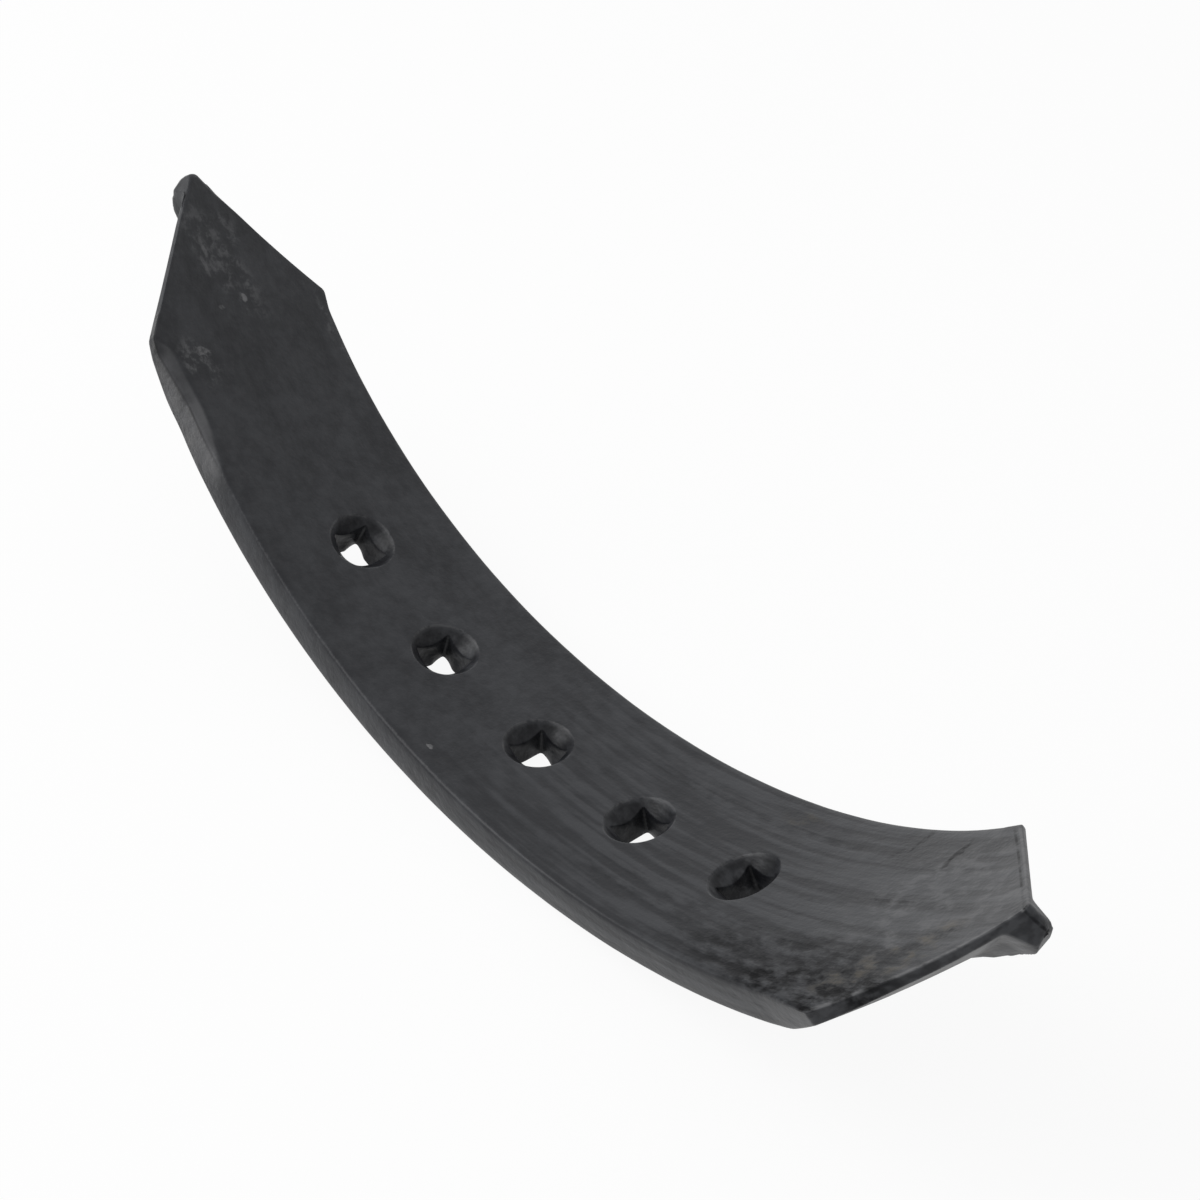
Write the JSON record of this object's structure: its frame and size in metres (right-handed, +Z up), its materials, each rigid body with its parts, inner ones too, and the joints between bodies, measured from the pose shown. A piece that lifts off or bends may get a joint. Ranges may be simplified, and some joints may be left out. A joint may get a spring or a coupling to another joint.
{
  "type": "twisted chisel plow point",
  "caption": "Reversible chisel plow point: a thick flat steel bar that bends and twists along its length, with a V point at each end and a row of countersunk square bolt holes.",
  "frame": {"origin": "on the convex back at the middle bolt hole, which is the lowest line of the bar as it lies", "axes": "+X along the bar at the middle hole, +Y across it, +Z up out of the hollow front face"},
  "size_m": [0.4794, 0.0964, 0.1304],
  "materials": {
    "forged_steel": "satin"
  },
  "bodies": {
    "root": {"plow_point": "forged_steel"}
  },
  "joints": []
}
